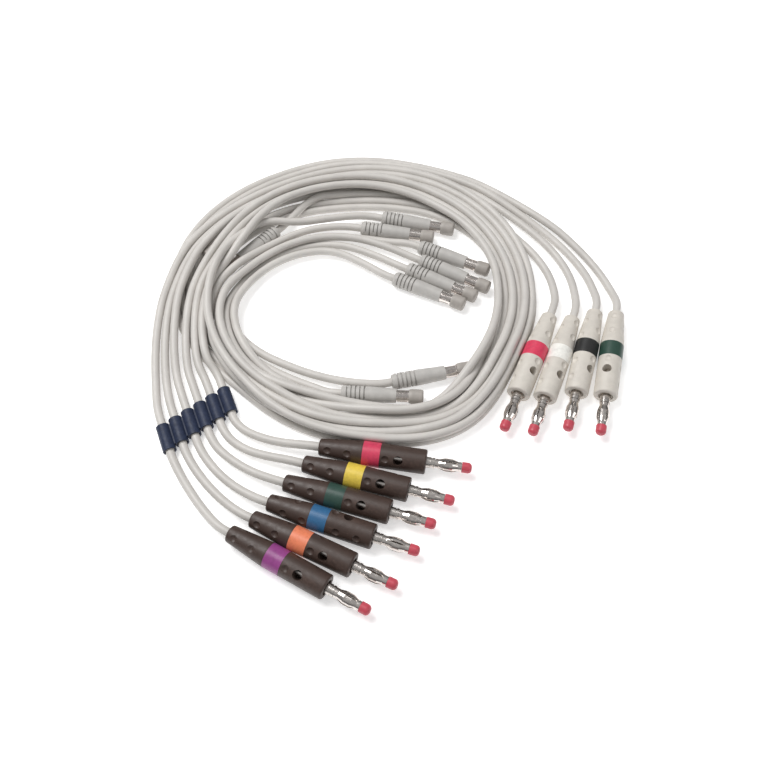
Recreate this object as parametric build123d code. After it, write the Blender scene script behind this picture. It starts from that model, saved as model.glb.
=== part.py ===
from build123d import *

import math
import os

# A ten-lead patient wire set: six chest leads and four limb leads, each with a 4 mm lantern plug at the
# electrode end and a small touch-proof plug at the recorder end, wound loosely into one flat round coil.
# Millimetres. +Z is up, the set lies on z = 0, and the chest plugs are at the front, towards -Y.

# ---- driving dimensions -------------------------------------------------------------------------------

WIRE_R = 1.575               # jacket radius of every lead wire
BORE_GAP = 0.05              # radial gap between a wire and the bore it is pushed into
WIRE_INSERT = 7.0            # how far a wire goes into its plug
WIRE_STRAIGHT = 4.0          # from the back of a plug to the first corner of its wire
SWEEP_SHARE = 0.45           # share of the shorter run that each bend's tangent takes

# lantern plug, measured along its axis from the back of the body
BODY_LENGTH = 38.0
BODY_R = 4.4
BODY_BACK_R = 3.0
TAPER_END = 15.0
RING_START = 15.6
RING_END = 21.8
RING_SEAT_R = 3.9
RING_PROUD = 0.05
FACE_RECESS_R = 2.7
FACE_RECESS_DEPTH = 1.0
FACE_EDGE = 0.6
BACK_EDGE = 0.8

SIGHT_HOLE_AT = 28.3
SIGHT_HOLE_R = 1.7
DIMPLE_BALL_R = 1.9
DIMPLE_LIFT = 1.3            # height of the dimple ball's centre over the skin
SIDE_DIMPLES = (6.5, 13.6, 25.8, 33.0)
FRONT_DIMPLES = (3.2, 10.3, 23.8)

PIN_BARREL_START = 8.0
PIN_BARREL_END = 16.0
PIN_BARREL_R = 1.75
PIN_SHANK_R = 1.5
PIN_SHOULDER_END = 41.0
PIN_SHOULDER_R = 1.95
PIN_GROOVE_AT = 39.7
PIN_GROOVE_WIDTH = 0.4
PIN_GROOVE_R = 1.75
PIN_CORE_R = 1.2
PIN_CORE_END = 52.6

CAGE_START = 41.1
CAGE_END = 50.4
CAGE_COLLAR = 1.3
CAGE_COLLAR_R = 1.75
CAGE_CREST_R = 2.35
CAGE_CREST_START = 44.6
CAGE_CREST_END = 47.2
CAGE_WALL = 0.28
CAGE_CLEARANCE = 0.05
CAGE_LEAVES = 4
CAGE_SLIT_LENGTH = 6.2
CAGE_SLIT_WIDTH = 0.8

TIP_START = 50.5
TIP_END = 54.0
TIP_R = 1.9
TIP_ROUND = 1.4

# recorder plug, measured the same way
BOOT_LENGTH = 10.2
BOOT_R = 3.05
BOOT_BACK_R = 2.5
BOOT_BACK_TAPER = 1.2
GRIP_END = 20.2
GRIP_FRONT_R = 2.65
BAND_END = 24.8
BAND_R = 2.2
BAND_FLUTES = 8
BAND_FLUTE_R = 0.3
STEM_R = 1.4
STEM_START = 8.0
SPIGOT_R = 1.2
SPIGOT_END = 28.0
NOSE_END = 30.2
NOSE_R = 2.75
NOSE_ROUND = 0.9
NOSE_BACK_R = 2.5
NOSE_BACK_TAPER = 1.0
BAND_LIP = 0.5               # plain metal at each end of the flutes
BOOT_SLOTS = (1.9, 3.5, 5.1, 6.7, 8.3)
BOOT_SLOT_WIDTH = 0.5
BOOT_SLOT_DEPTH = 0.55
BOOT_BRIDGE_WIDTH = 1.6
BOOT_BRIDGE_LENGTH = 2.0

# wire comb
COMB_TUBE_R = 2.42
COMB_BORE_R = WIRE_R + 0.35
COMB_LENGTH = 10.5
COMB_PITCH = 4.93            # across the wires
COMB_STAGGER = 1.32          # each tube sits this much further along its wire than the one outside it
COMB_HEADING = 112.0
COMB_OUTER = (-83.7, -21.3)  # middle of the tube on the outermost wire
COMB_Z = 2.6
COMB_WEB_HEIGHT = 2.0
COMB_WEB_WIDTH = 1.8
COMB_WEB_LENGTH = 8.2
COMB_RUN = 10.0              # the wires are straight this far each side of the comb's middle

# coil of wires: its outline is a smooth loop through radii taken every 30 degrees from +X
COIL_CENTRE = (-12.0, 42.0)
COIL_OUTER_R = (66.0, 70.5, 73.0, 73.5, 77.0, 81.5, 82.0, 63.0, 64.0, 65.0, 70.5, 63.0)
COIL_INNER_R = (48.5, 51.5, 49.5, 47.0, 44.5, 44.0, 49.0, 49.0, 48.5, 49.5, 51.0, 50.5)
COIL_HEIGHT = 8.6
COIL_EDGE = 2.5

# ---- where each plug lies: back of the body (x, y), heading, and how far it is rolled about its axis -------

CHEST_PLUGS = {
    "chest_1": (-28.8, -25.4, -9.0, 41.0),
    "chest_2": (-34.1, -31.9, -15.2, 30.0),
    "chest_3": (-40.3, -39.1, -16.6, 30.0),
    "chest_4": (-45.3, -46.4, -19.0, -37.0),
    "chest_5": (-50.4, -52.3, -25.4, 38.0),
    "chest_6": (-57.5, -57.4, -29.2, 30.0),
}
LIMB_PLUGS = {
    "limb_1": (58.0, 30.7, -113.4, -32.0),
    "limb_2": (66.6, 29.5, -111.8, -38.0),
    "limb_3": (75.7, 32.6, -107.6, -41.0),
    "limb_4": (83.8, 31.9, -103.8, 19.0),
}
PLUGS = {**CHEST_PLUGS, **LIMB_PLUGS}
PLUG_Z = 4.45

# recorder plugs: back of the boot (x, y, z), heading and roll
RECORDER_PLUGS = {
    "chest_6": (-6.6, 81.8, 3.1, -12.2, 20.0),
    "chest_5": (-15.3, 76.3, 3.1, -9.7, -10.0),
    "chest_4": (8.6, 66.3, 3.1, -24.1, 40.0),
    "chest_3": (8.9, 59.2, 3.1, -27.5, 15.0),
    "chest_2": (3.5, 54.8, 3.1, -27.2, -30.0),
    "chest_1": (-1.8, 50.1, 3.1, -25.3, 10.0),
    "limb_1": (-3.1, 2.0, 3.1, 11.7, 25.0),
    "limb_2": (-21.7, -2.8, 3.1, -3.1, 0.0),
    "limb_3": (-50.5, 74.6, 3.1, 227.0, 30.0),
    "limb_4": (-58.6, 84.0, 3.1, 229.0, 60.0),
}

# ---- routes of the wires where they aren't coiled ----------------------------------------------------------

# From the comb the six chest wires run on side by side. Each row holds the outermost wire's place and the
# innermost wire's, as (x, y, z), and the four between are spaced evenly.
CHEST_FAN = (
    ((-92.4, 0.5, 1.6), (-72.4, 12.4, 1.8)),
    ((-95.4, 14.5, 1.6), (-76.4, 25.0, 2.6)),
    ((-96.2, 28.5, 1.6), (-77.4, 37.5, 3.6)),
    ((-94.8, 41.0, 1.8), (-76.4, 48.0, 4.0)),
)

# the bend between each chest plug and the comb, from the plug, as (x, y, z)
CHEST_BENDS = {
    "chest_1": ((-39.0, -23.6, 3.6), (-48.6, -19.6, 2.6)),
    "chest_2": ((-44.6, -28.4, 3.6), (-54.2, -22.6, 2.6)),
    "chest_3": ((-51.4, -34.6, 3.6), (-60.4, -27.6, 2.6)),
    "chest_4": ((-56.4, -41.2, 3.6), (-65.2, -33.4, 2.6)),
    "chest_5": ((-60.4, -45.8, 3.6), (-68.8, -38.0, 2.6)),
    "chest_6": ((-66.8, -50.4, 3.6), (-74.4, -41.8, 2.6)),
}

# from each limb plug over to the top of the coil
LIMB_LEADS = {
    "limb_1": ((61.3, 40.6, 4.4), (60.0, 52.0, 4.6), (54.4, 63.6, 5.0), (45.6, 74.6, 5.2), (34.0, 84.4, 5.2)),
    "limb_2": ((69.4, 39.8, 4.2), (68.6, 52.0, 4.2), (62.8, 64.8, 4.8), (53.0, 76.8, 5.4), (40.6, 87.6, 5.6)),
    "limb_3": ((77.2, 42.6, 3.6), (75.0, 53.6, 2.6), (68.4, 66.0, 2.2), (58.0, 78.6, 2.4), (44.6, 90.6, 3.0)),
    "limb_4": ((84.6, 42.2, 3.8), (80.6, 54.6, 3.6), (73.0, 66.8, 4.6), (62.6, 78.6, 6.4), (49.4, 91.0, 7.2)),
}

# from the coil to each recorder plug, starting inside the coil
TAILS = {
    "chest_6": ((-42.6, 79.0, 3.2), (-30.6, 82.1, 3.1), (-18.6, 83.2, 3.1)),
    "chest_5": ((-44.6, 74.9, 3.1), (-36.4, 77.0, 3.1), (-26.6, 77.8, 3.1)),
    "chest_4": ((-50.2, 66.2, 3.3), (-39.2, 71.8, 3.2), (-27.4, 73.4, 3.1), (-15.0, 71.5, 3.1), (-3.6, 69.4, 3.1)),
    "chest_3": ((-62.2, 53.2, 3.4), (-54.0, 60.8, 3.2), (-43.0, 65.5, 3.1), (-31.0, 69.2, 3.1),
                (-17.6, 68.0, 3.1), (-4.8, 65.2, 3.1)),
    "chest_2": ((-64.2, 45.4, 3.4), (-56.4, 53.8, 3.2), (-46.4, 60.6, 3.1), (-35.2, 64.6, 3.1),
                (-22.4, 64.8, 3.1), (-9.2, 61.2, 3.1)),
    "chest_1": ((-64.6, 36.4, 3.4), (-59.4, 45.4, 3.2), (-50.2, 53.6, 3.1), (-39.6, 59.2, 3.1),
                (-26.8, 61.0, 3.1), (-14.4, 56.6, 3.1)),
    "limb_1": ((-59.8, 24.0, 3.2), (-50.8, 15.2, 3.0), (-39.4, 8.6, 3.0), (-26.8, 4.4, 3.0), (-14.6, 2.0, 3.1)),
    "limb_2": ((-60.2, 14.8, 3.2), (-51.6, 6.4, 3.1), (-42.0, 0.6, 3.1), (-32.2, -2.2, 3.1)),
}


# ---- small helpers -------------------------------------------------------------------------------------

def turned(outline):
    """The solid swept out by turning a closed outline of (along, radius) points about the X axis."""
    points = [Vector(distance, radius, 0) for distance, radius in outline]
    face = make_face(Polyline(*points, close=True))
    return revolve(face, Axis.X, 360)


def placed(shape, x, y, z, heading, roll=0.0):
    """A plug built along +X from its back, laid at its place. A roll of 0 keeps its front side up."""
    return Pos(x, y, z) * Rot(0, 0, heading) * Rot(roll, 0, 0) * shape


def along(x, y, heading, distance):
    angle = math.radians(heading)
    return (x + distance * math.cos(angle), y + distance * math.sin(angle))


def mixed(outer, inner, share):
    return tuple(a + (b - a) * share for a, b in zip(outer, inner))


def tube(name, route):
    """A wire along straight runs joined by arcs as large as the runs allow."""
    corners = [Vector(*point) for point in route]
    radii = []
    for before, here, after in zip(corners, corners[1:], corners[2:]):
        turn = math.radians((here - before).get_angle(after - here))
        shorter = min((here - before).length, (after - here).length)
        radii.append(SWEEP_SHARE * shorter / math.tan(turn / 2))
    path = FilletPolyline(*corners, radius=radii)
    section = Plane(origin=corners[0], z_dir=corners[1] - corners[0]) * Circle(WIRE_R)
    solid = sweep(section, path=path)
    expected = math.pi * WIRE_R ** 2 * path.length
    print(f"{name}: length {path.length:.1f}, smallest radius {min(radii):.1f}, "
          f"volume / (section x length) {solid.volume / expected:.4f}")
    return solid


def save(shape, name):
    export_step(shape, f"parts/{name}.step")


# ---- lantern plug --------------------------------------------------------------------------------------

def plug_body():
    """Moulded body with a seat for its colour ring, a sight hole to the pin and shallow mould dimples."""
    bore = WIRE_R + BORE_GAP
    shell = turned([
        (0, 0), (0, BODY_BACK_R), (TAPER_END, BODY_R), (RING_START, BODY_R), (RING_START, RING_SEAT_R),
        (RING_END, RING_SEAT_R), (RING_END, BODY_R), (BODY_LENGTH, BODY_R), (BODY_LENGTH, 0),
    ])
    ends = shell.edges().filter_by(GeomType.CIRCLE).sort_by(Axis.X)
    shell = fillet([ends[-1]], FACE_EDGE)
    ends = shell.edges().filter_by(GeomType.CIRCLE).sort_by(Axis.X)
    shell = fillet([ends[0]], BACK_EDGE)
    hollow = turned([
        (-1, 0), (-1, bore), (PIN_BARREL_START, bore), (PIN_BARREL_START, PIN_BARREL_R),
        (PIN_BARREL_END, PIN_BARREL_R), (PIN_BARREL_END, PIN_SHANK_R),
        (BODY_LENGTH - FACE_RECESS_DEPTH, PIN_SHANK_R), (BODY_LENGTH - FACE_RECESS_DEPTH, FACE_RECESS_R),
        (BODY_LENGTH + 1, FACE_RECESS_R), (BODY_LENGTH + 1, 0),
    ])
    body = shell - hollow
    body -= Pos(SIGHT_HOLE_AT, 0, BODY_R / 2 + 0.5) * Cylinder(SIGHT_HOLE_R, BODY_R + 1)
    for angle in (90, 270):
        for at in SIDE_DIMPLES:
            body -= dimple(at, angle)
    for angle in (0, 180):
        for at in FRONT_DIMPLES:
            body -= dimple(at, angle)
    return body


def dimple(at, angle):
    skin = min(BODY_R, BODY_BACK_R + (BODY_R - BODY_BACK_R) * at / TAPER_END)
    return Rot(angle, 0, 0) * Pos(at, 0, skin + DIMPLE_LIFT) * Sphere(DIMPLE_BALL_R)


def colour_ring():
    outer = BODY_R + RING_PROUD
    return turned([
        (RING_START, RING_SEAT_R), (RING_START, outer), (RING_END, outer), (RING_END, RING_SEAT_R),
    ])


def contact_pin():
    """Turned pin: crimp barrel and shank inside the body, shoulder at the face, core through the cage."""
    return turned([
        (PIN_BARREL_START, 0), (PIN_BARREL_START, PIN_BARREL_R), (PIN_BARREL_END, PIN_BARREL_R),
        (PIN_BARREL_END, PIN_SHANK_R), (BODY_LENGTH - FACE_RECESS_DEPTH, PIN_SHANK_R),
        (BODY_LENGTH - FACE_RECESS_DEPTH, PIN_SHOULDER_R), (PIN_GROOVE_AT, PIN_SHOULDER_R),
        (PIN_GROOVE_AT, PIN_GROOVE_R), (PIN_GROOVE_AT + PIN_GROOVE_WIDTH, PIN_GROOVE_R),
        (PIN_GROOVE_AT + PIN_GROOVE_WIDTH, PIN_SHOULDER_R), (PIN_SHOULDER_END, PIN_SHOULDER_R),
        (PIN_SHOULDER_END, PIN_CORE_R), (PIN_CORE_END, PIN_CORE_R), (PIN_CORE_END, 0),
    ])


def spring_cage():
    """Lantern of sprung leaves between two collars, free to turn on the pin's core."""
    bore = PIN_CORE_R + CAGE_CLEARANCE
    back, front = CAGE_START + CAGE_COLLAR, CAGE_END - CAGE_COLLAR
    cage = turned([
        (CAGE_START, bore), (CAGE_START, CAGE_COLLAR_R), (back, CAGE_COLLAR_R),
        (CAGE_CREST_START, CAGE_CREST_R), (CAGE_CREST_END, CAGE_CREST_R),
        (front, CAGE_COLLAR_R), (CAGE_END, CAGE_COLLAR_R), (CAGE_END, bore),
        (front, bore), (CAGE_CREST_END, CAGE_CREST_R - CAGE_WALL),
        (CAGE_CREST_START, CAGE_CREST_R - CAGE_WALL), (back, bore),
    ])
    middle = (CAGE_START + CAGE_END) / 2
    slit = extrude(Ellipse(CAGE_SLIT_LENGTH / 2, CAGE_SLIT_WIDTH / 2), CAGE_CREST_R + 1)
    for leaf in range(CAGE_LEAVES):
        cage -= Rot(45 + leaf * 360 / CAGE_LEAVES, 0, 0) * Pos(middle, 0, 0) * slit
    return cage


def plug_tip():
    tip = turned([
        (TIP_START, PIN_CORE_R), (TIP_START, TIP_R), (TIP_END, TIP_R), (TIP_END, 0), (PIN_CORE_END, 0),
        (PIN_CORE_END, PIN_CORE_R),
    ])
    rim = tip.edges().filter_by(GeomType.CIRCLE).sort_by(Axis.X)[-1]
    return fillet([rim], TIP_ROUND)


# ---- recorder plug -------------------------------------------------------------------------------------

def recorder_body():
    """Boot with slots cut half way round, turn and turn about, running into a smooth grip."""
    bore = WIRE_R + BORE_GAP
    body = turned([
        (0, bore), (0, BOOT_BACK_R), (BOOT_BACK_TAPER, BOOT_R), (BOOT_LENGTH, BOOT_R), (GRIP_END, GRIP_FRONT_R),
        (GRIP_END, STEM_R), (STEM_START, STEM_R), (STEM_START, bore),
    ])
    slot_ring = turned([
        (0, BOOT_R - BOOT_SLOT_DEPTH), (0, BOOT_R + 1), (BOOT_SLOT_WIDTH, BOOT_R + 1),
        (BOOT_SLOT_WIDTH, BOOT_R - BOOT_SLOT_DEPTH),
    ])
    for count, at in enumerate(BOOT_SLOTS):
        side = 1 if count % 2 else -1
        bridge = Box(BOOT_BRIDGE_LENGTH, 2 * BOOT_R, BOOT_BRIDGE_WIDTH)
        bridge = Pos(BOOT_SLOT_WIDTH / 2, side * BOOT_R, 0) * bridge
        body -= Pos(at, 0, 0) * (slot_ring - bridge)
    return body


def recorder_contact():
    """Turned contact: stem inside the body, fluted band outside it, spigot inside the nose."""
    contact = turned([
        (STEM_START, 0), (STEM_START, STEM_R), (GRIP_END, STEM_R), (GRIP_END, BAND_R), (BAND_END, BAND_R),
        (BAND_END, SPIGOT_R), (SPIGOT_END, SPIGOT_R), (SPIGOT_END, 0),
    ])
    flute = Rot(0, 90, 0) * Cylinder(BAND_FLUTE_R, BAND_END - GRIP_END - 2 * BAND_LIP)
    for count in range(BAND_FLUTES):
        contact -= Rot(count * 360 / BAND_FLUTES, 0, 0) * Pos((GRIP_END + BAND_END) / 2, 0, BAND_R) * flute
    return contact


def recorder_nose():
    nose = turned([
        (BAND_END, SPIGOT_R), (BAND_END, NOSE_BACK_R), (BAND_END + NOSE_BACK_TAPER, NOSE_R),
        (NOSE_END, NOSE_R), (NOSE_END, 0), (SPIGOT_END, 0), (SPIGOT_END, SPIGOT_R),
    ])
    rim = nose.edges().filter_by(GeomType.CIRCLE).sort_by(Axis.X)[-1]
    return fillet([rim], NOSE_ROUND)


# ---- comb, coil and wires ------------------------------------------------------------------------------

def comb_middle(count):
    """Middle of the comb's tube on a wire, counted from the outermost wire as 0."""
    x, y = along(*COMB_OUTER, COMB_HEADING, COMB_STAGGER * count)
    return along(x, y, COMB_HEADING - 90, COMB_PITCH * count)


def comb():
    """Six joined tubes in a row with a thin web under each pair."""
    tubes = None
    for count in range(len(CHEST_PLUGS)):
        x, y = comb_middle(count)
        lay = Pos(x, y, COMB_Z) * Rot(0, 0, COMB_HEADING) * Rot(0, 90, 0)
        one = lay * Cylinder(COMB_TUBE_R, COMB_LENGTH)
        tubes = one if tubes is None else tubes + one
    for count in range(len(CHEST_PLUGS) - 1):
        x, y = mixed(comb_middle(count), comb_middle(count + 1), 0.5)
        web = Box(COMB_WEB_LENGTH, COMB_WEB_WIDTH, COMB_WEB_HEIGHT)
        tubes += Pos(x, y, COMB_Z) * Rot(0, 0, COMB_HEADING) * web
    for count in range(len(CHEST_PLUGS)):
        x, y = comb_middle(count)
        lay = Pos(x, y, COMB_Z) * Rot(0, 0, COMB_HEADING) * Rot(0, 90, 0)
        tubes -= lay * Cylinder(COMB_BORE_R, COMB_LENGTH + 2)
    return tubes


def coil_loop(radii):
    step = 360 / len(radii)
    points = [along(*COIL_CENTRE, count * step, radius) for count, radius in enumerate(radii)]
    return make_face(Spline(*points, periodic=True))


def coil():
    """The wound bundle as one closed ring, flat underneath, with rounded top edges."""
    ring = extrude(coil_loop(COIL_OUTER_R) - coil_loop(COIL_INNER_R), COIL_HEIGHT)
    top = ring.faces().sort_by(Axis.Z)[-1]
    return fillet(top.edges(), COIL_EDGE)


def plug_start(name):
    """First two points of a wire: inside its plug, and at the back of the body."""
    x, y, heading, _ = PLUGS[name]
    return [(*along(x, y, heading, WIRE_INSERT), PLUG_Z), (*along(x, y, heading, -WIRE_STRAIGHT), PLUG_Z)]


def chest_route(count, name):
    """From the plug round the bend, straight through the comb, and side by side to the coil."""
    x, y = comb_middle(count)
    route = plug_start(name) + list(CHEST_BENDS[name])
    route.append((*along(x, y, COMB_HEADING, -COMB_RUN), COMB_Z))
    route.append((*along(x, y, COMB_HEADING, COMB_RUN), COMB_Z))
    share = count / (len(CHEST_PLUGS) - 1)
    route.extend(mixed(outer, inner, share) for outer, inner in CHEST_FAN)
    return route


def tail_route(name):
    x, y, z, heading, _ = RECORDER_PLUGS[name]
    end = [(*along(x, y, heading, -WIRE_STRAIGHT), z), (*along(x, y, heading, WIRE_INSERT), z)]
    return list(TAILS[name]) + end


def main():
    os.makedirs("parts", exist_ok=True)
    body, ring, cage = plug_body(), colour_ring(), spring_cage()
    pin, tip = contact_pin(), plug_tip()
    pins, tips = [], []
    for name, (x, y, heading, roll) in PLUGS.items():
        lie = (x, y, PLUG_Z, heading, roll)
        save(placed(body, *lie), f"{name}_plug_body")
        save(placed(ring, *lie), f"{name}_colour_ring")
        save(placed(cage, *lie), f"{name}_spring_cage")
        pins.append(placed(pin, *lie))
        tips.append(placed(tip, *lie))
    save(Compound(children=pins), "contact_pins")
    save(Compound(children=tips), "plug_tips")

    grip, contact, nose = recorder_body(), recorder_contact(), recorder_nose()
    grips = {"chest": [], "limb": []}
    contacts, noses = [], []
    for name, lie in RECORDER_PLUGS.items():
        grips[name.split("_")[0]].append(placed(grip, *lie))
        contacts.append(placed(contact, *lie))
        noses.append(placed(nose, *lie))
    for group, solids in grips.items():
        save(Compound(children=solids), f"{group}_recorder_plug_bodies")
    save(Compound(children=contacts), "recorder_contacts")
    save(Compound(children=noses), "recorder_noses")

    save(comb(), "wire_comb")
    save(coil(), "coiled_wires")
    for count, name in enumerate(reversed(CHEST_PLUGS)):
        save(tube(f"{name}_lead_wire", chest_route(count, name)), f"{name}_lead_wire")
    for name, route in LIMB_LEADS.items():
        save(tube(f"{name}_lead_wire", plug_start(name) + list(route)), f"{name}_lead_wire")
    for name in TAILS:
        save(tube(f"{name}_tail_wire", tail_route(name)), f"{name}_tail_wire")


main()
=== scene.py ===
import math

import bpy
import numpy as np
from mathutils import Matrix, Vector


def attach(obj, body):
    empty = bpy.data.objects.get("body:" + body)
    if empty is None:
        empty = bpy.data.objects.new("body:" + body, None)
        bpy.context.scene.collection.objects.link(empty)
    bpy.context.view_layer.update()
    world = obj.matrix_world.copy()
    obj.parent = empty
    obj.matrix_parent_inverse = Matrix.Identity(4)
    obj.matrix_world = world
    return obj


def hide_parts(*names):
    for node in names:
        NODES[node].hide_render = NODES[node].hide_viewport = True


# A set of ten patient lead wires lying in one loose coil. Tables are in millimetres, and MM turns them into
# metres.

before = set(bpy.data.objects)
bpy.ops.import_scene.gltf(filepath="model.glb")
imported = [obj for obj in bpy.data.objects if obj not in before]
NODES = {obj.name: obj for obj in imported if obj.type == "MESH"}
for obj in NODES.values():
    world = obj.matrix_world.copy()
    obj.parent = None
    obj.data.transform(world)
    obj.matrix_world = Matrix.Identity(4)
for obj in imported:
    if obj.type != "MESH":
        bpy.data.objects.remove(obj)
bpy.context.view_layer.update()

MM = 0.001
WIRE_R = 1.575
CHEST = [f"chest_{n}" for n in range(1, 7)]
LIMB = [f"limb_{n}" for n in range(1, 5)]
LEADS = CHEST + LIMB

# ---- where things lie, as in the CAD model -----------------------------------------------------------------

# back of each lantern plug's body (x, y) and its heading; its axis is level
PLUGS = {
    "chest_1": (-28.8, -25.4, -9.0),
    "chest_2": (-34.1, -31.9, -15.2),
    "chest_3": (-40.3, -39.1, -16.6),
    "chest_4": (-45.3, -46.4, -19.0),
    "chest_5": (-50.4, -52.3, -25.4),
    "chest_6": (-57.5, -57.4, -29.2),
    "limb_1": (58.0, 30.7, -113.4),
    "limb_2": (66.6, 29.5, -111.8),
    "limb_3": (75.7, 32.6, -107.6),
    "limb_4": (83.8, 31.9, -103.8),
}
PLUG_Z = 4.45
PLUG_LENGTH = 54.0
PLUG_BODY_LENGTH = 38.0
PLUG_R = 4.45
PIN_R = 2.35

# back of each recorder plug (x, y) and its heading
RECORDER_PLUGS = {
    "chest_6": (-6.6, 81.8, -12.2),
    "chest_5": (-15.3, 76.3, -9.7),
    "chest_4": (8.6, 66.3, -24.1),
    "chest_3": (8.9, 59.2, -27.5),
    "chest_2": (3.5, 54.8, -27.2),
    "chest_1": (-1.8, 50.1, -25.3),
    "limb_1": (-3.1, 2.0, 11.7),
    "limb_2": (-21.7, -2.8, -3.1),
    "limb_3": (-50.5, 74.6, 227.0),
    "limb_4": (-58.6, 84.0, 229.0),
}
RECORDER_Z = 3.1
RECORDER_LENGTH = 30.2
RECORDER_R = 3.05

# comb: the middle of its outermost tube, its heading along the wires, its pitch across and along them, its
# height, radius and half length, how far it slides each way, and the gap that other leads' wires keep from it
COMB_OUTER = (-83.7, -21.3)
COMB_HEADING = 112.0
COMB_PITCH = 4.93
COMB_STAGGER = 1.32
COMB_Z = 2.6
COMB_R = 2.42
COMB_HALF = 5.25
COMB_SLIDE = 2.0
COMB_CLEARANCE = 0.4

# ---- routes: points (x, y, height) that the wires pass near, before settling -------------------------------

# from the back of each chest plug to the comb
CHEST_BENDS = {
    "chest_1": ((-41.2, -23.6, 3.9), (-48.6, -21.6, 3.3), (-55.6, -18.4, 2.8)),
    "chest_2": ((-46.6, -28.8, 3.9), (-54.0, -26.4, 3.3), (-60.4, -22.2, 2.8)),
    "chest_3": ((-52.4, -34.6, 3.9), (-59.2, -30.2, 3.3), (-65.0, -25.2, 2.8)),
    "chest_4": ((-57.2, -40.6, 3.9), (-63.8, -35.0, 3.3), (-69.2, -28.6, 2.8)),
    "chest_5": ((-61.2, -45.4, 3.9), (-67.2, -39.4, 3.3), (-72.6, -32.6, 2.8)),
    "chest_6": ((-67.0, -49.4, 3.9), (-71.8, -43.2, 3.3), (-76.4, -36.4, 2.8)),
}
# from the comb to the coil: the outermost and the innermost chest wire at each step
CHEST_FAN = (
    ((-90.6, 0.5, 2.2), (-72.2, 12.4, 4.2)),
    ((-92.6, 14.5, 3.2), (-74.4, 25.2, 4.8)),
    ((-93.2, 28.5, 4.2), (-74.8, 37.6, 4.8)),
    ((-92.3, 41.0, 4.8), (-73.6, 47.8, 4.8)),
)
# from the back of each limb plug to the coil
LIMB_LEADS = {
    "limb_1": ((61.3, 40.6, 4.4), (60.0, 52.0, 4.6), (54.4, 63.6, 5.0), (45.6, 74.6, 5.2)),
    "limb_2": ((69.4, 39.8, 4.2), (68.6, 52.0, 4.2), (62.8, 64.8, 4.8), (53.0, 76.8, 5.4)),
    "limb_3": ((77.2, 42.6, 3.6), (75.0, 53.6, 2.6), (68.4, 66.0, 2.2), (58.0, 78.6, 2.4)),
    "limb_4": ((84.6, 42.2, 3.8), (80.6, 54.6, 3.6), (73.0, 66.8, 4.6), (62.6, 78.6, 6.4)),
}
# out of the coil to the back of each recorder plug; two wires stay in the coil up to their plug
TAILS = {
    "chest_6": (
        (-41.0, 76.8, 3.2), (-30.2, 79.9, 3.1), (-18.6, 82.4, 3.1),
    ),
    "chest_5": (
        (-65.6, 56.6, 6.4), (-58.6, 63.6, 5.2), (-51.0, 69.6, 3.8), (-44.0, 74.2, 3.1),
        (-36.0, 77.0, 3.1), (-26.4, 77.9, 3.1),
    ),
    "chest_4": (
        (-63.6, 53.6, 4.6), (-56.6, 61.0, 4.0), (-48.6, 67.2, 3.3), (-38.8, 72.4, 3.2),
        (-27.2, 75.0, 3.1), (-15.2, 74.4, 3.1), (-3.6, 71.2, 3.1),
    ),
    "chest_3": (
        (-62.2, 52.2, 3.4), (-54.6, 60.4, 3.2), (-43.8, 67.8, 3.1), (-31.0, 71.6, 3.1),
        (-17.4, 71.0, 3.1), (-4.8, 66.4, 3.1),
    ),
    "chest_2": (
        (-64.6, 45.4, 3.4), (-57.6, 54.6, 3.2), (-47.2, 63.4, 3.1), (-35.4, 68.0, 3.1),
        (-22.2, 68.0, 3.1), (-9.4, 62.2, 3.1),
    ),
    "chest_1": (
        (-67.0, 36.0, 4.6), (-62.4, 46.8, 3.6), (-53.4, 57.0, 3.1), (-41.0, 63.2, 3.1),
        (-27.6, 64.4, 3.1), (-14.8, 57.8, 3.1),
    ),
    "limb_1": (
        (-62.6, 22.6, 1.6), (-53.4, 14.4, 2.0), (-43.4, 9.0, 3.0), (-32.2, 4.6, 3.0),
        (-20.2, 1.8, 3.1),
    ),
    "limb_2": (
        (-60.2, 14.8, 3.2), (-51.6, 6.4, 3.1), (-42.0, 0.6, 3.1), (-32.2, -2.2, 3.1),
    ),
    "limb_3": (),
    "limb_4": (),
}

# turns of the coil: angle from +X about its centre, then the radius and height of the outermost and the
# innermost wire of the group. The chest wires go round clockwise, the limb wires the other way.
COIL_CENTRE = (-12.0, 42.0)
TURN_STEP = 11.5
CHEST_TURN = (
    (165, 78.4, 58.8, 4.8, 4.8),
    (150, 73.6, 57.6, 4.8, 7.4),
    (135, 68.6, 59.6, 4.8, 7.4),
    (120, 66.0, 58.6, 4.6, 7.4),
    (105, 65.2, 57.4, 4.6, 7.0),
    (90, 65.4, 56.4, 4.6, 6.4),
    (60, 66.4, 53.6, 4.6, 4.6),
    (30, 65.5, 51.5, 4.6, 4.6),
    (0, 64.0, 50.0, 4.6, 4.6),
    (-30, 61.5, 51.0, 4.6, 4.6),
    (-60, 68.0, 54.0, 4.6, 1.6),
    (-90, 63.0, 51.0, 4.6, 1.6),
    (-120, 61.5, 50.5, 4.6, 1.6),
    (-140, 60.6, 55.2, 4.6, 1.6),
    (-155, 62.0, 57.0, 4.6, 4.6),
    (-170, 63.0, 56.2, 4.6, 4.6),
    (-180, 62.6, 53.8, 4.6, 3.4),
    (-190, 61.8, 48.0, 7.0, 1.6),
    (-200, 60.2, 44.0, 7.0, 1.6),
    (-210, 57.8, 42.0, 4.6, 1.6),
    (-220, 55.0, 42.0, 4.6, 1.6),
)
CHEST_TURN_START = 165
CHEST_TURN_END = {
    "chest_1": -162,
    "chest_2": -173,
    "chest_3": -182,
    "chest_4": -181,
    "chest_5": -186,
    "chest_6": -219,
}
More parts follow.
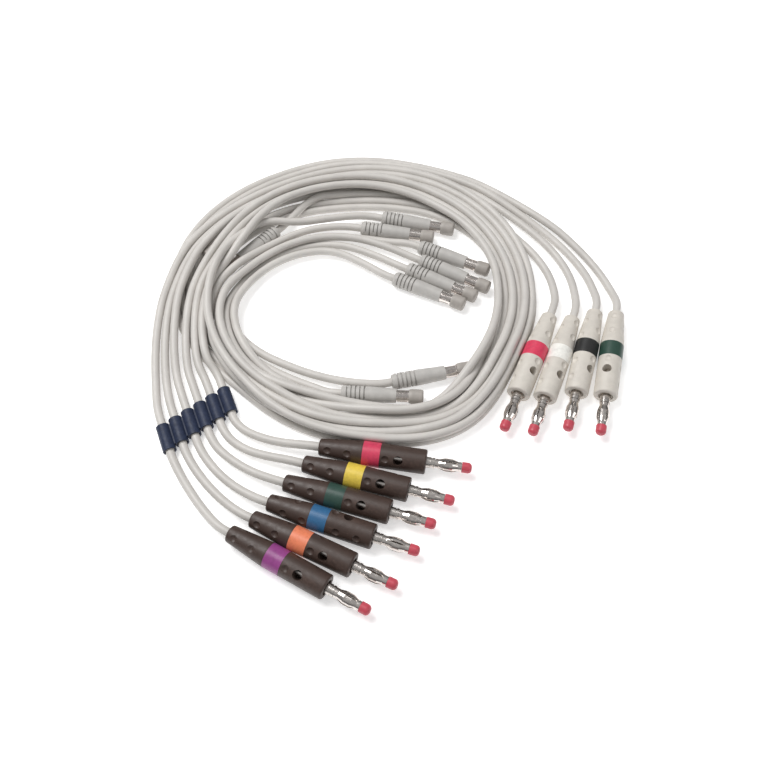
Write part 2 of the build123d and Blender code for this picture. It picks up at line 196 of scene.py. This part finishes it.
LIMB_TURN = (
    (50, 77.0, 68.0, 4.6, 4.6),
    (60, 74.5, 66.0, 4.6, 4.6),
    (75, 72.6, 65.0, 4.6, 4.6),
    (90, 72.6, 65.4, 4.6, 4.6),
    (105, 73.4, 66.4, 3.6, 3.6),
    (120, 74.8, 67.8, 1.8, 1.8),
    (135, 76.6, 69.4, 1.6, 1.6),
    (150, 78.2, 70.8, 1.6, 1.6),
    (165, 78.4, 70.6, 1.6, 1.6),
    (180, 76.4, 68.4, 1.6, 1.6),
    (195, 72.0, 64.8, 1.6, 1.6),
    (210, 65.2, 59.6, 1.6, 1.6),
    (225, 61.4, 56.0, 1.6, 1.6),
    (240, 61.5, 53.0, 1.6, 1.6),
    (270, 62.0, 52.5, 1.6, 4.6),
    (300, 67.5, 57.0, 1.6, 4.6),
    (330, 61.0, 52.5, 1.6, 1.6),
    (360, 65.0, 54.0, 1.6, 1.6),
    (390, 65.4, 53.4, 1.6, 1.6),
    (405, 63.6, 51.4, 1.6, 1.6),
    (420, 61.6, 49.6, 1.6, 1.6),
    (435, 59.4, 47.8, 1.6, 1.6),
    (450, 57.6, 47.2, 1.6, 1.6),
    (465, 57.8, 48.6, 1.6, 1.6),
    (480, 58.6, 52.0, 4.6, 1.6),
    (495, 58.4, 56.0, 10.8, 1.6),
    (510, 60.2, 58.6, 10.8, 1.6),
    (520, 62.2, 60.6, 10.8, 1.6),
    (530, 64.2, 62.6, 10.8, 1.6),
    (540, 62.6, 60.4, 7.0, 1.6),
    (555, 58.4, 54.6, 4.6, 1.6),
    (570, 56.4, 51.0, 4.6, 1.6),
)
LIMB_TURN_START = {"limb_1": 51, "limb_2": 48, "limb_3": 47, "limb_4": 50}
LIMB_TURN_END = {"limb_1": 548, "limb_2": 556, "limb_3": 476, "limb_4": 478}


def along(x, y, heading, distance):
    angle = math.radians(heading)
    return (x + distance * math.cos(angle), y + distance * math.sin(angle))


def mixed(outer, inner, share):
    return tuple(a + (b - a) * share for a, b in zip(outer, inner))


def comb_middle(count):
    """Middle of the comb's tube on a wire, counted from the outermost wire as 0."""
    x, y = along(*COMB_OUTER, COMB_HEADING, COMB_STAGGER * count)
    return along(x, y, COMB_HEADING - 90, COMB_PITCH * count)


def turn_points(table, share, start, end):
    """Points every TURN_STEP degrees round the coil for the wire at that share of its group's width."""
    rows = sorted(table)
    angles = [row[0] for row in rows]
    radii = [row[1] + (row[2] - row[1]) * share for row in rows]
    heights = [row[3] + (row[4] - row[3]) * share for row in rows]
    count = max(2, round(abs(end - start) / TURN_STEP))
    points = []
    for angle in np.linspace(start, end, count + 1):
        x, y = along(*COIL_CENTRE, angle, np.interp(angle, angles, radii))
        points.append((x, y, float(np.interp(angle, angles, heights))))
    return points


# where a wire's points are held: along a plug's axis from its back, and along the comb from its middle
PLUG_AXIS = (7.0, 1.0, -5.0)
COMB_HOLD = (-9.0, -4.0, 5.0, 13.0)


def plug_points(name):
    x, y, heading = PLUGS[name]
    return [(*along(x, y, heading, distance), PLUG_Z) for distance in PLUG_AXIS]


def recorder_points(name):
    x, y, heading = RECORDER_PLUGS[name]
    return [(*along(x, y, heading, distance), RECORDER_Z) for distance in reversed(PLUG_AXIS)]


def chest_route(name):
    """Control points of a chest lead, and which of them are held."""
    count = len(CHEST) - 1 - CHEST.index(name)
    share = count / (len(CHEST) - 1)
    x, y = comb_middle(count)
    parts = [
        (plug_points(name), True),
        (CHEST_BENDS[name], False),
        ([(*along(x, y, COMB_HEADING, distance), COMB_Z) for distance in COMB_HOLD], True),
        ([mixed(outer, inner, share) for outer, inner in CHEST_FAN], False),
        (turn_points(CHEST_TURN, share, CHEST_TURN_START, CHEST_TURN_END[name]), False),
        (TAILS[name], False),
        (recorder_points(name), True),
    ]
    return joined(parts)


def limb_route(name):
    """Control points of a limb lead, and which of them are held."""
    share = (len(LIMB) - 1 - LIMB.index(name)) / (len(LIMB) - 1)
    parts = [
        (plug_points(name), True),
        (LIMB_LEADS[name], False),
        (turn_points(LIMB_TURN, share, LIMB_TURN_START[name], LIMB_TURN_END[name]), False),
        (TAILS[name], False),
        (recorder_points(name), True),
    ]
    return joined(parts)


def joined(parts):
    """One array of points and one of whether each is held."""
    points = [point for group, _ in parts for point in group]
    held = [fixed for group, fixed in parts for _ in group]
    return np.array(points, float), np.array(held)


# ---- settling: the wires push each other apart, rest on each other and on the floor ------------------------

SAMPLES_PER_SPAN = 5
CONTACT = 2 * WIRE_R + 0.08          # distance kept between two wires' middles
SOLID_GAP = 0.05                     # gap kept from plugs and comb
FLOOR_GAP = 0.02
SETTLE_STEPS = 260
PAIRS_EVERY = 6                      # steps between two searches for neighbours
NEAR = CONTACT + 1.6                 # samples closer than this count as neighbours
OWN_SKIP = 3 * SAMPLES_PER_SPAN      # samples this close along one wire never count as neighbours
PUSH_GAIN = 1.5
SINK_START = 0.06                    # fall in one step, fading over the steps to SINK_END
SINK_END = 0.01
BEND_GAIN = 0.12                     # pull back to the route's bends
STRETCH_GAIN = 0.25                  # pull back to the route's spacing
HOME_GAIN = 0.004                    # pull back to the route's places, seen from above
TINY = 1e-6


def curve_matrix(count):
    """Rows that turn a quadratic B-spline's control points into points on it, with clamped ends."""
    rows = []
    for span in range(count - 2):
        for step in range(SAMPLES_PER_SPAN):
            t = (step + 0.5) / SAMPLES_PER_SPAN
            first = np.zeros(count)
            last = np.zeros(count)
            if span == 0:
                first[0] = 1.0
            else:
                first[span] = first[span + 1] = 0.5
            if span == count - 3:
                last[count - 1] = 1.0
            else:
                last[span + 1] = last[span + 2] = 0.5
            middle = np.zeros(count)
            middle[span + 1] = 1.0
            rows.append(first * (1 - t) ** 2 + middle * 2 * t * (1 - t) + last * t ** 2)
    return np.array(rows)


def capsules():
    """Plugs and comb tubes as (start, end, radius, lead), which the other leads' wires stay clear of."""
    found = []
    for name in LEADS:
        x, y, heading = PLUGS[name]
        start = (x, y, PLUG_Z)
        middle = (*along(x, y, heading, PLUG_BODY_LENGTH), PLUG_Z)
        end = (*along(x, y, heading, PLUG_LENGTH), PLUG_Z)
        found.append((start, middle, PLUG_R, name))
        found.append((middle, end, PIN_R, name))
        x, y, heading = RECORDER_PLUGS[name]
        end = (*along(x, y, heading, RECORDER_LENGTH), RECORDER_Z)
        found.append(((x, y, RECORDER_Z), end, RECORDER_R, name))
    for name in CHEST:
        x, y = comb_middle(len(CHEST) - 1 - CHEST.index(name))
        reach = COMB_HALF + COMB_SLIDE + COMB_CLEARANCE
        start = (*along(x, y, COMB_HEADING, -reach), COMB_Z)
        end = (*along(x, y, COMB_HEADING, reach), COMB_Z)
        found.append((start, end, COMB_R + COMB_CLEARANCE, name))
    return found


def settle(routes):
    """Moves the free points until the wires lie on each other without running through one another."""
    names = list(routes)
    starts, bends, matrices, spans = [], [], [], []
    place = 0
    for name in names:
        points, _ = routes[name]
        matrices.append(curve_matrix(len(points)))
        spans.append(slice(place, place + len(points)))
        place += len(points)
        starts.append(points)
        bends.append(points[:-2] - 2 * points[1:-1] + points[2:])
    nominal = np.vstack(starts)
    held = np.concatenate([routes[name][1] for name in names])
    free = (~held).astype(float)[:, None]
    rests = [np.linalg.norm(np.diff(points, axis=0), axis=1) for points in starts]
    owner = np.concatenate([np.full(len(m), index) for index, m in enumerate(matrices)])
    order = np.concatenate([np.arange(len(m)) for m in matrices])
    weights = [m / (m ** 2).sum(axis=1, keepdims=True) for m in matrices]
    solids = [(np.array(a), np.array(b), r, names.index(lead)) for a, b, r, lead in capsules()]
    points = nominal.copy()
    pairs = None
    for step in range(SETTLE_STEPS):
        line = np.vstack([m @ points[span] for m, span in zip(matrices, spans)])
        if step % PAIRS_EVERY == 0:
            square = (line ** 2).sum(axis=1)
            gap = square[:, None] + square[None, :] - 2 * line @ line.T
            one, two = np.nonzero(np.triu(gap < NEAR ** 2, 1))
            apart = (owner[one] != owner[two]) | (np.abs(order[one] - order[two]) > OWN_SKIP)
            pairs = (one[apart], two[apart])
        push = np.zeros_like(line)
        hits = np.zeros(len(line))
        one, two = pairs
        across = line[one] - line[two]
        distance = np.maximum(np.linalg.norm(across, axis=1), TINY)
        depth = np.maximum(CONTACT - distance, 0.0)
        shove = across * (0.5 * depth / distance)[:, None]
        np.add.at(push, one, shove)
        np.add.at(push, two, -shove)
        touching = (depth > 0).astype(float)
        np.add.at(hits, one, touching)
        np.add.at(hits, two, touching)
        for start, end, radius, lead in solids:
            axis = end - start
            share = np.clip((line - start) @ axis / (axis @ axis), 0.0, 1.0)
            out = line - (start + share[:, None] * axis)
            distance = np.maximum(np.linalg.norm(out, axis=1), TINY)
            depth = np.maximum(radius + WIRE_R + SOLID_GAP - distance, 0.0)
            depth[owner == lead] = 0.0
            push += out * (depth / distance)[:, None]
            hits += depth > 0
        below = np.maximum(WIRE_R + FLOOR_GAP - line[:, 2], 0.0)
        push[:, 2] += below
        hits += below > 0
        push /= np.maximum(np.sqrt(hits), 1.0)[:, None]
        moved = np.zeros_like(points)
        for m, weight, span, lead in zip(matrices, weights, spans, range(len(names))):
            own = push[owner == lead]
            total = np.maximum(m.sum(axis=0), TINY)[:, None]
            moved[span] = PUSH_GAIN * (weight.T @ own) / total
        moved[:, 2] -= SINK_START * (1 - step / SETTLE_STEPS) + SINK_END
        points += moved * free
        for span, bend, rest in zip(spans, bends, rests):
            own = points[span]
            error = own[:-2] - 2 * own[1:-1] + own[2:] - bend
            own[1:-1] += BEND_GAIN * error * free[span][1:-1]
            edge = np.diff(own, axis=0)
            length = np.linalg.norm(edge, axis=1, keepdims=True)
            change = STRETCH_GAIN * edge * (1 - rest[:, None] / length)
            own[:-1] += change * free[span][:-1]
            own[1:] -= change * free[span][1:]
        drift = (nominal - points) * free
        drift[:, 2] = 0
        points += HOME_GAIN * drift
    return {name: points[span] for name, span in zip(names, spans)}


# ---- materials ---------------------------------------------------------------------------------------------

def srgb(red, green, blue):
    """A colour given as 0 to 255 in sRGB, in the linear values that shaders take."""
    linear = []
    for value in (red, green, blue):
        value /= 255
        linear.append(value / 12.92 if value <= 0.04045 else ((value + 0.055) / 1.055) ** 2.4)
    return (*linear, 1.0)


def scaled(colour, factor):
    return (*(min(1.0, channel * factor) for channel in colour[:3]), 1.0)


class Look:
    """A node material built up a step at a time around one Principled shader."""

    def __init__(self, name, **constants):
        self.material = bpy.data.materials.new(name)
        self.material.use_nodes = True
        self.tree = self.material.node_tree
        self.shader = self.tree.nodes["Principled BSDF"]
        for socket, value in constants.items():
            self.shader.inputs[socket.replace("_", " ")].default_value = value
        self.place = self.tree.nodes.new("ShaderNodeTexCoord")
        self.height = None

    def link(self, source, target):
        self.tree.links.new(source, target)

    def noise(self, size_mm, detail=4.0):
        """Noise whose blotches are about size_mm across."""
        mapping = self.tree.nodes.new("ShaderNodeMapping")
        mapping.inputs["Scale"].default_value = (1 / (size_mm * MM),) * 3
        texture = self.tree.nodes.new("ShaderNodeTexNoise")
        texture.inputs["Scale"].default_value = 1.0
        texture.inputs["Detail"].default_value = detail
        self.link(self.place.outputs["Object"], mapping.inputs["Vector"])
        self.link(mapping.outputs["Vector"], texture.inputs["Vector"])
        return texture.outputs["Fac"]

    def ramp(self, source, low, high, start=0.35, end=0.65):
        ramp = self.tree.nodes.new("ShaderNodeValToRGB")
        ramp.color_ramp.elements[0].position = start
        ramp.color_ramp.elements[1].position = end
        ramp.color_ramp.elements[0].color = low
        ramp.color_ramp.elements[1].color = high
        self.link(source, ramp.inputs["Fac"])
        return ramp.outputs["Color"]

    def colour(self, size_mm, low, high):
        self.link(self.ramp(self.noise(size_mm), low, high), self.shader.inputs["Base Color"])
        return self

    def over(self, source, paint):
        """Lays paint over the colour so far wherever source is high."""
        under = self.shader.inputs["Base Color"].links[0].from_socket
        mix = self.tree.nodes.new("ShaderNodeMix")
        mix.data_type = "RGBA"
        self.link(source, mix.inputs["Factor"])
        self.link(under, mix.inputs[6])
        mix.inputs[7].default_value = paint
        self.link(mix.outputs[2], self.shader.inputs["Base Color"])
        return self

    def rough(self, size_mm, low, high):
        spread = self.tree.nodes.new("ShaderNodeMapRange")
        spread.inputs["From Min"].default_value = 0.3
        spread.inputs["From Max"].default_value = 0.7
        spread.inputs["To Min"].default_value = low
        spread.inputs["To Max"].default_value = high
        self.link(self.noise(size_mm), spread.inputs["Value"])
        self.link(spread.outputs["Result"], self.shader.inputs["Roughness"])
        return self

    def bump(self, source, depth_mm):
        node = self.tree.nodes.new("ShaderNodeBump")
        node.inputs["Strength"].default_value = 1.0
        node.inputs["Distance"].default_value = depth_mm * MM
        self.link(source, node.inputs["Height"])
        if self.height is not None:
            self.link(self.height, node.inputs["Normal"])
        self.height = node.outputs["Normal"]
        self.link(self.height, self.shader.inputs["Normal"])
        return self

    def worn(self, paint):
        """Rubbed edges: paint shows where the surface turns outwards sharply, broken up by noise."""
        geometry = self.tree.nodes.new("ShaderNodeNewGeometry")
        edge = self.ramp(geometry.outputs["Pointiness"], (0, 0, 0, 1), (0.5, 0.5, 0.5, 1), 0.53, 0.62)
        patches = self.ramp(self.noise(0.9), (0, 0, 0, 1), (1, 1, 1, 1), 0.38, 0.6)
        both = self.tree.nodes.new("ShaderNodeMath")
        both.operation = "MULTIPLY"
        self.link(edge, both.inputs[0])
        self.link(patches, both.inputs[1])
        return self.over(both.outputs["Value"], paint)


def moulded(name, colour, rough=(0.42, 0.58), spread=0.08, grain=0.012, wear=1.6, **constants):
    """Matt moulded plastic: slight mottling, fine grain and rubbed edges."""
    look = Look(name, **constants)
    look.colour(2.4, scaled(colour, 1 - spread), scaled(colour, 1 + spread))
    look.rough(1.6, *rough)
    look.bump(look.noise(0.16, 3.0), grain)
    look.bump(look.noise(1.8, 2.0), grain * 2)
    look.worn(scaled(colour, wear))
    return look.material


def plated(name, colour, rough=(0.16, 0.30)):
    """Turned and nickel-plated metal with faint handling haze and specks."""
    look = Look(name, Metallic=1.0)
    look.colour(1.1, scaled(colour, 0.86), scaled(colour, 1.05))
    look.rough(0.7, *rough)
    look.bump(look.noise(0.12, 3.0), 0.004)
    specks = look.ramp(look.noise(0.22, 2.0), (0, 0, 0, 1), (0.45, 0.45, 0.45, 1), 0.66, 0.74)
    look.over(specks, scaled(colour, 0.45))
    return look.material


def jacket(name, colour):
    """Smooth extruded sheath: a soft gloss, faint shade changes along it and light scuffs."""
    look = Look(name, Specular_IOR_Level=0.45, Sheen_Weight=0.06)
    look.colour(9.0, scaled(colour, 0.95), scaled(colour, 1.03))
    scuffs = look.ramp(look.noise(1.3, 5.0), (0, 0, 0, 1), (0.35, 0.35, 0.35, 1), 0.60, 0.70)
    look.over(scuffs, scaled(colour, 0.86))
    look.rough(2.2, 0.36, 0.52)
    look.bump(look.noise(0.25, 3.0), 0.006)
    look.bump(look.noise(2.6, 2.0), 0.03)
    return look.material


WIRE_COLOUR = srgb(205, 201, 196)
CHEST_BODY = srgb(67, 52, 46)
LIMB_BODY = srgb(212, 206, 197)
RECORDER_BODY = srgb(186, 183, 179)
NOSE = srgb(168, 162, 156)
TIP = srgb(196, 76, 90)
COMB = srgb(38, 46, 67)
PIN = srgb(216, 210, 205)
SPRING = srgb(226, 219, 214)
LOOKS = {
    "wire": jacket("wire_jacket", WIRE_COLOUR),
    "chest_body": moulded("chest_plug_plastic", CHEST_BODY, rough=(0.40, 0.55), wear=2.0),
    "limb_body": moulded("limb_plug_plastic", LIMB_BODY, rough=(0.38, 0.52), spread=0.04, wear=1.08),
    "recorder_body": moulded("recorder_plug_plastic", RECORDER_BODY, spread=0.05, wear=1.1),
    "nose": moulded("nose_plastic", NOSE, spread=0.06, wear=1.15),
    "tip": moulded("tip_plastic", TIP, rough=(0.30, 0.42), spread=0.08, wear=1.25),
    "comb": moulded("comb_plastic", COMB, rough=(0.44, 0.58), spread=0.12, wear=1.7, Specular_IOR_Level=0.3),
    "pin": plated("plated_contact", PIN),
    "spring": plated("plated_spring", SPRING, rough=(0.12, 0.22)),
}
RING_COLOURS = {
    "chest_1": srgb(205, 62, 92),
    "chest_2": srgb(222, 194, 76),
    "chest_3": srgb(48, 74, 66),
    "chest_4": srgb(48, 98, 140),
    "chest_5": srgb(226, 128, 92),
    "chest_6": srgb(142, 66, 130),
    "limb_1": srgb(214, 62, 92),
    "limb_2": srgb(236, 234, 228),
    "limb_3": srgb(40, 40, 40),
    "limb_4": srgb(44, 72, 62),
}


def dress(node, look):
    """Gives a CAD node its material without touching its mesh."""
    obj = NODES[node]
    for slot in obj.material_slots:
        slot.link = "OBJECT"
        slot.material = look


def dress_frame():
    for name in LEADS:
        body = "chest_body" if name in CHEST else "limb_body"
        dress(f"{name}_plug_body", LOOKS[body])
        ring = moulded(f"{name}_ring_plastic", RING_COLOURS[name], rough=(0.30, 0.42), grain=0.006, wear=1.2)
        dress(f"{name}_colour_ring", ring)
        dress(f"{name}_spring_cage", LOOKS["spring"])
    dress("contact_pins", LOOKS["pin"])
    dress("plug_tips", LOOKS["tip"])
    dress("chest_recorder_plug_bodies", LOOKS["recorder_body"])
    dress("limb_recorder_plug_bodies", LOOKS["recorder_body"])
    dress("recorder_contacts", LOOKS["spring"])
    dress("recorder_noses", LOOKS["nose"])
    dress("wire_comb", LOOKS["comb"])


# ---- the wires ---------------------------------------------------------------------------------------------

def curve_length(points):
    """Length of the quadratic B-spline through its clamped ends, in millimetres."""
    line = curve_matrix(len(points)) @ points
    line = np.vstack([points[:1], line, points[-1:]])
    return float(np.linalg.norm(np.diff(line, axis=0), axis=1).sum())


def make_wire(name, points, replaced):
    curve = bpy.data.curves.new(f"{name}_wire", "CURVE")
    curve.dimensions = "3D"
    curve.bevel_depth = WIRE_R * MM
    curve.bevel_resolution = 5
    curve.use_fill_caps = True
    spline = curve.splines.new("NURBS")
    spline.points.add(len(points) - 1)
    for control, point in zip(spline.points, points):
        control.co = (*(float(value) * MM for value in point), 1.0)
    spline.order_u = 3
    spline.use_endpoint_u = True
    spline.resolution_u = 8
    wire = bpy.data.objects.new(f"{name}_wire", curve)
    bpy.context.scene.collection.objects.link(wire)
    curve.materials.append(LOOKS["wire"])
    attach(wire, "root")
    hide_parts(*replaced)
    curve_length(points) * MM


def make_wires():
    """The ten wires, each in place of its CAD pieces; the first also stands for the coil's CAD ring."""
    routes = {name: chest_route(name) for name in CHEST}
    routes.update({name: limb_route(name) for name in LIMB})
    settled = settle(routes)
    for name, points in settled.items():
        replaced = [node for node in (f"{name}_lead_wire", f"{name}_tail_wire") if node in NODES]
        if name == CHEST[0]:
            replaced.append("coiled_wires")
        make_wire(name, points, replaced)


# ---- camera, floor and light -------------------------------------------------------------------------------

# in millimetres, as the tables are
CAMERA_AT = (-6.0, -159.3, 273.4)
CAMERA_AIM = (-6.0, 3.0, 0.0)
LENS = 39.84


def make_camera():
    camera = bpy.data.cameras.new("camera")
    camera.lens = LENS
    camera.sensor_width = 36.0
    camera.clip_start = 0.01
    obj = bpy.data.objects.new("camera", camera)
    obj.location = Vector(CAMERA_AT) * MM
    obj.rotation_euler = (Vector(CAMERA_AIM) - Vector(CAMERA_AT)).to_track_quat("-Z", "Y").to_euler()
    bpy.context.scene.collection.objects.link(obj)
    bpy.context.scene.camera = obj


FLOOR_HALF = 2.5                     # metres
FLOOR_GLOW = 0.42                    # the floor is a white light table


def make_floor():
    mesh = bpy.data.meshes.new("floor")
    corners = [(FLOOR_HALF * x, FLOOR_HALF * y, 0) for x, y in ((-1, -1), (1, -1), (1, 1), (-1, 1))]
    mesh.from_pydata(corners, [], [(0, 1, 2, 3)])
    floor = bpy.data.objects.new("floor", mesh)
    bpy.context.scene.collection.objects.link(floor)
    look = Look("floor_paper", Roughness=0.75, Specular_IOR_Level=0.2)
    look.colour(60.0, (0.90, 0.90, 0.90, 1.0), (0.92, 0.92, 0.92, 1.0))
    look.shader.inputs["Emission Color"].default_value = (1.0, 1.0, 1.0, 1.0)
    look.shader.inputs["Emission Strength"].default_value = FLOOR_GLOW
    mesh.materials.append(look.material)


def area_light(name, at, aim, size, power):
    light = bpy.data.lights.new(name, "AREA")
    light.shape = "RECTANGLE"
    light.size, light.size_y = size
    light.energy = power
    obj = bpy.data.objects.new(name, light)
    obj.location = at
    obj.rotation_euler = (Vector(aim) - Vector(at)).to_track_quat("-Z", "Y").to_euler()
    bpy.context.scene.collection.objects.link(obj)


def make_lights():
    world = bpy.data.worlds.new("studio")
    bpy.context.scene.world = world
    world.use_nodes = True
    tree = world.node_tree
    background = tree.nodes["Background"]
    background.inputs["Strength"].default_value = 0.40
    place = tree.nodes.new("ShaderNodeTexCoord")
    split = tree.nodes.new("ShaderNodeSeparateXYZ")
    ramp = tree.nodes.new("ShaderNodeValToRGB")
    ramp.color_ramp.elements[0].position = 0.08
    ramp.color_ramp.elements[0].color = (0.10, 0.10, 0.105, 1.0)
    ramp.color_ramp.elements[1].position = 0.70
    ramp.color_ramp.elements[1].color = (1.0, 1.0, 1.0, 1.0)
    tree.links.new(place.outputs["Generated"], split.inputs["Vector"])
    tree.links.new(split.outputs["Z"], ramp.inputs["Fac"])
    tree.links.new(ramp.outputs["Color"], background.inputs["Color"])
    area_light("key", (-0.42, 0.30, 0.85), (0, 0, 0), (0.55, 0.55), 8.0)
    area_light("fill", (0.75, -0.35, 0.55), (0, 0, 0), (0.5, 0.7), 1.6)
    bpy.context.scene.view_settings.view_transform = "Standard"


make_camera()
make_floor()
make_lights()
make_wires()
dress_frame()
